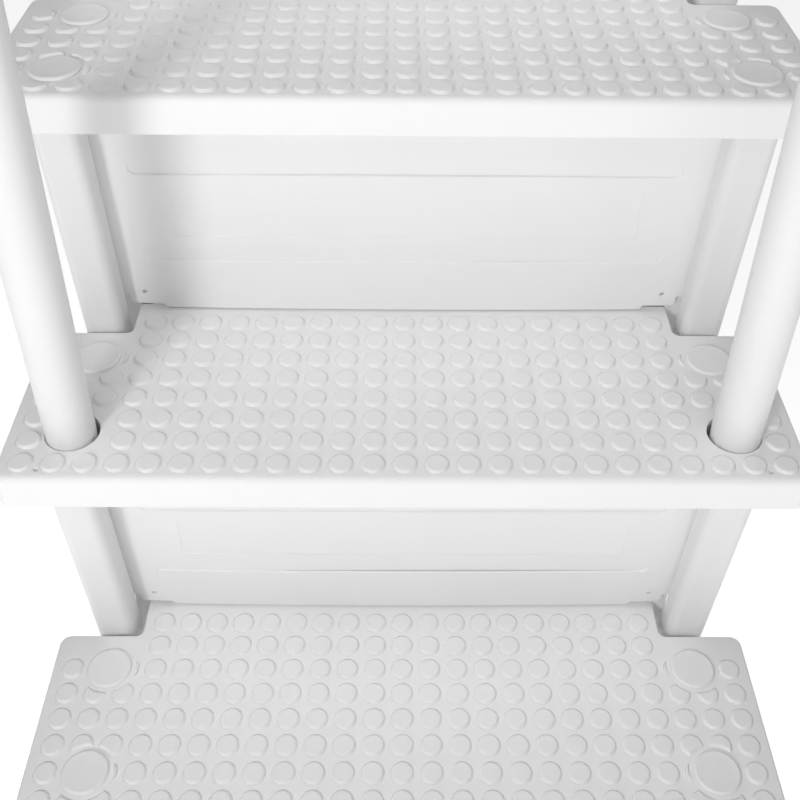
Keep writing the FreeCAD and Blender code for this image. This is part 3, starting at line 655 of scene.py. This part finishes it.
# ---------------------------------------------------------------- handrails
def sweep_tube(name, stations, material, count=96):
    """Open-ended tube along (centre, direction) stations, with eased ends."""
    shell = Shell()

    def section(centre, along, radius):
        across = Vector((1, 0, 0))
        across = (across - along * across.dot(along)).normalized()
        other = along.cross(across)
        return [centre + radius * (across * math.cos(2 * math.pi * i / count)
                                   + other * math.sin(2 * math.pi * i / count)) for i in range(count)]

    ease = 0.5 * MM
    (start, start_way), (end, end_way) = stations[0], stations[-1]
    loops = [section(start, start_way, RAIL_RADIUS - RAIL_WALL),
             section(start, start_way, RAIL_RADIUS - ease),
             section(start + start_way * ease, start_way, RAIL_RADIUS)]
    loops += [section(centre, way, RAIL_RADIUS) for centre, way in stations[1:-1]]
    loops += [section(end - end_way * ease, end_way, RAIL_RADIUS),
              section(end, end_way, RAIL_RADIUS - ease),
              section(end, end_way, RAIL_RADIUS - RAIL_WALL)]
    loops += [section(centre, way, RAIL_RADIUS - RAIL_WALL) for centre, way in reversed(stations[1:-1])]
    first, last = shell.rings(loops)
    shell.bridge(last, first)
    return shell.piece(name, material, sharp=50)


def straight(start, end, steps=2):
    way = (end - start).normalized()
    return [(start.lerp(end, i / steps), way) for i in range(steps + 1)]


def curved(start, way, end, end_way, steps=24):
    """Stations round the arc that leaves start along way and arrives at end along end_way."""
    axis = way.cross(end_way).normalized()
    angle = way.angle(end_way)
    chord = (end - start).length
    radius = chord / (2 * math.sin(angle / 2))
    centre = start + axis.cross(way) * radius
    stations = []
    for i in range(steps + 1):
        turn = Matrix.Rotation(angle * i / steps, 3, axis)
        stations.append((centre + turn @ (start - centre), turn @ way))
    return stations


def build_handrail(name, side):
    up = rail_direction(side)
    over, down = Vector((0, 1, 0)), Vector((0, 0, -1))
    foot = Vector((side * (RAIL_HOLE_X + RAIL_HOLE_SHIFT),
                   row_one_y(RAIL_LEVEL) - (RAIL_HOLE_ROW - 1) * PITCH - RAIL_HOLE_SHIFT,
                   tread_top(RAIL_LEVEL)))
    low, high = (Vector(corner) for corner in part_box(f"handrail_{name}_drop"))
    start = foot - up * (RAIL_INSERT / up.z)
    top = foot + up * ((RAIL_TOP - foot.z) / up.z)
    behind = Vector((top.x, (low.y + high.y) / 2, RAIL_TOP))
    end = Vector((top.x, behind.y, low.z))
    front_reach = RAIL_BEND / math.tan((math.pi - up.angle(over)) / 2)
    stations = {"upright": straight(start, top - up * front_reach),
                "front_bend": curved(top - up * front_reach, up, top + over * front_reach, over),
                "top": straight(top + over * front_reach, behind - over * RAIL_BEND),
                "rear_bend": curved(behind - over * RAIL_BEND, over, behind + down * RAIL_BEND, down),
                "drop": straight(behind + down * RAIL_BEND, end)}
    for part, path in stations.items():
        item = sweep_tube(f"handrail_{name}_{part}_tube", path, rail_plastic)
        finish_piece(item, f"handrail_{name}", "rail_plastic", f"handrail_{name}_{part}")


# ---------------------------------------------------------------- studio
def build_floor():
    shell = Shell()
    outline = rounded_loop(square(0, 0, 2 * FLOOR_HALF, 2 * FLOOR_HALF, FLOOR_CORNER))
    ring = shell.ring(lift(outline, 0))
    shell.faces.append(tuple(ring))
    material = bpy.data.materials.new("studio_floor")
    material.use_nodes = True
    shader = material.node_tree.nodes["Principled BSDF"]
    shader.inputs["Base Color"].default_value = (0.88, 0.88, 0.88, 1)
    shader.inputs["Roughness"].default_value = 0.8
    shader.inputs["Emission Color"].default_value = (1, 1, 1, 1)
    shader.inputs["Emission Strength"].default_value = FLOOR_GLOW
    floor = shell.piece("studio_floor", material)


def area_light(name, place, size, power):
    data = bpy.data.lights.new(name, "AREA")
    data.shape = "DISK"
    data.size = size
    data.energy = power
    lamp = bpy.data.objects.new(name, data)
    lamp.location = place
    lamp.rotation_euler = (Vector(AIM) - Vector(place)).to_track_quat("-Z", "Y").to_euler()
    bpy.context.scene.collection.objects.link(lamp)


def build_studio():
    build_floor()
    world = bpy.data.worlds.new("studio")
    world.use_nodes = True
    background = world.node_tree.nodes["Background"]
    background.inputs["Color"].default_value = (1, 1, 1, 1)
    background.inputs["Strength"].default_value = WORLD_LIGHT
    bpy.context.scene.world = world
    for name, (place, size, power) in LAMPS.items():
        area_light(name, place, size, power)
    bpy.context.scene.view_settings.view_transform = "Standard"


def build_camera():
    ahead = Vector((math.sin(CAMERA_YAW) * math.cos(CAMERA_PITCH),
                    math.cos(CAMERA_YAW) * math.cos(CAMERA_PITCH), -math.sin(CAMERA_PITCH)))
    right = Vector((math.cos(CAMERA_YAW), -math.sin(CAMERA_YAW), 0))
    above = right.cross(ahead)
    c, s = math.cos(CAMERA_ROLL), math.sin(CAMERA_ROLL)
    axes = Matrix((right * c + above * s, above * c - right * s, -ahead)).transposed()
    data = bpy.data.cameras.new("camera")
    data.sensor_width = 36
    data.lens = CAMERA_LENS
    data.shift_x, data.shift_y = CAMERA_SHIFT
    data.clip_end = 60
    camera = bpy.data.objects.new("camera", data)
    camera.matrix_world = Matrix.Translation(CAMERA_PLACE) @ axes.to_4x4()
    bpy.context.scene.collection.objects.link(camera)
    bpy.context.scene.camera = camera


# ---------------------------------------------------------------- the ladder
def paint_node(node, material):
    item = frame["nodes"][node]
    item.data.materials.clear()
    item.data.materials.append(material)


SLOT_MATERIALS = {"base_plastic": base_plastic, "flange_plastic": flange_plastic,
                  "inner_plastic": inner_plastic, "pad_rubber": pad_rubber, "screw_steel": screw_steel}

STEPS = "steps"
for level in LEVELS:
    build_tread(level, STEPS)
    build_caps(level, STEPS)
    build_riser(level, STEPS)
for node in frame["nodes"]:
    if node.startswith("leg_"):
        build_leg(node, STEPS)
for name, side in SIDES.items():
    build_handrail(name, side)
for part in frame["record"]["subparts"]:
    if part["material_slot"] in SLOT_MATERIALS:
        paint_node(part["node"], SLOT_MATERIALS[part["material_slot"]])
build_studio()
build_camera()
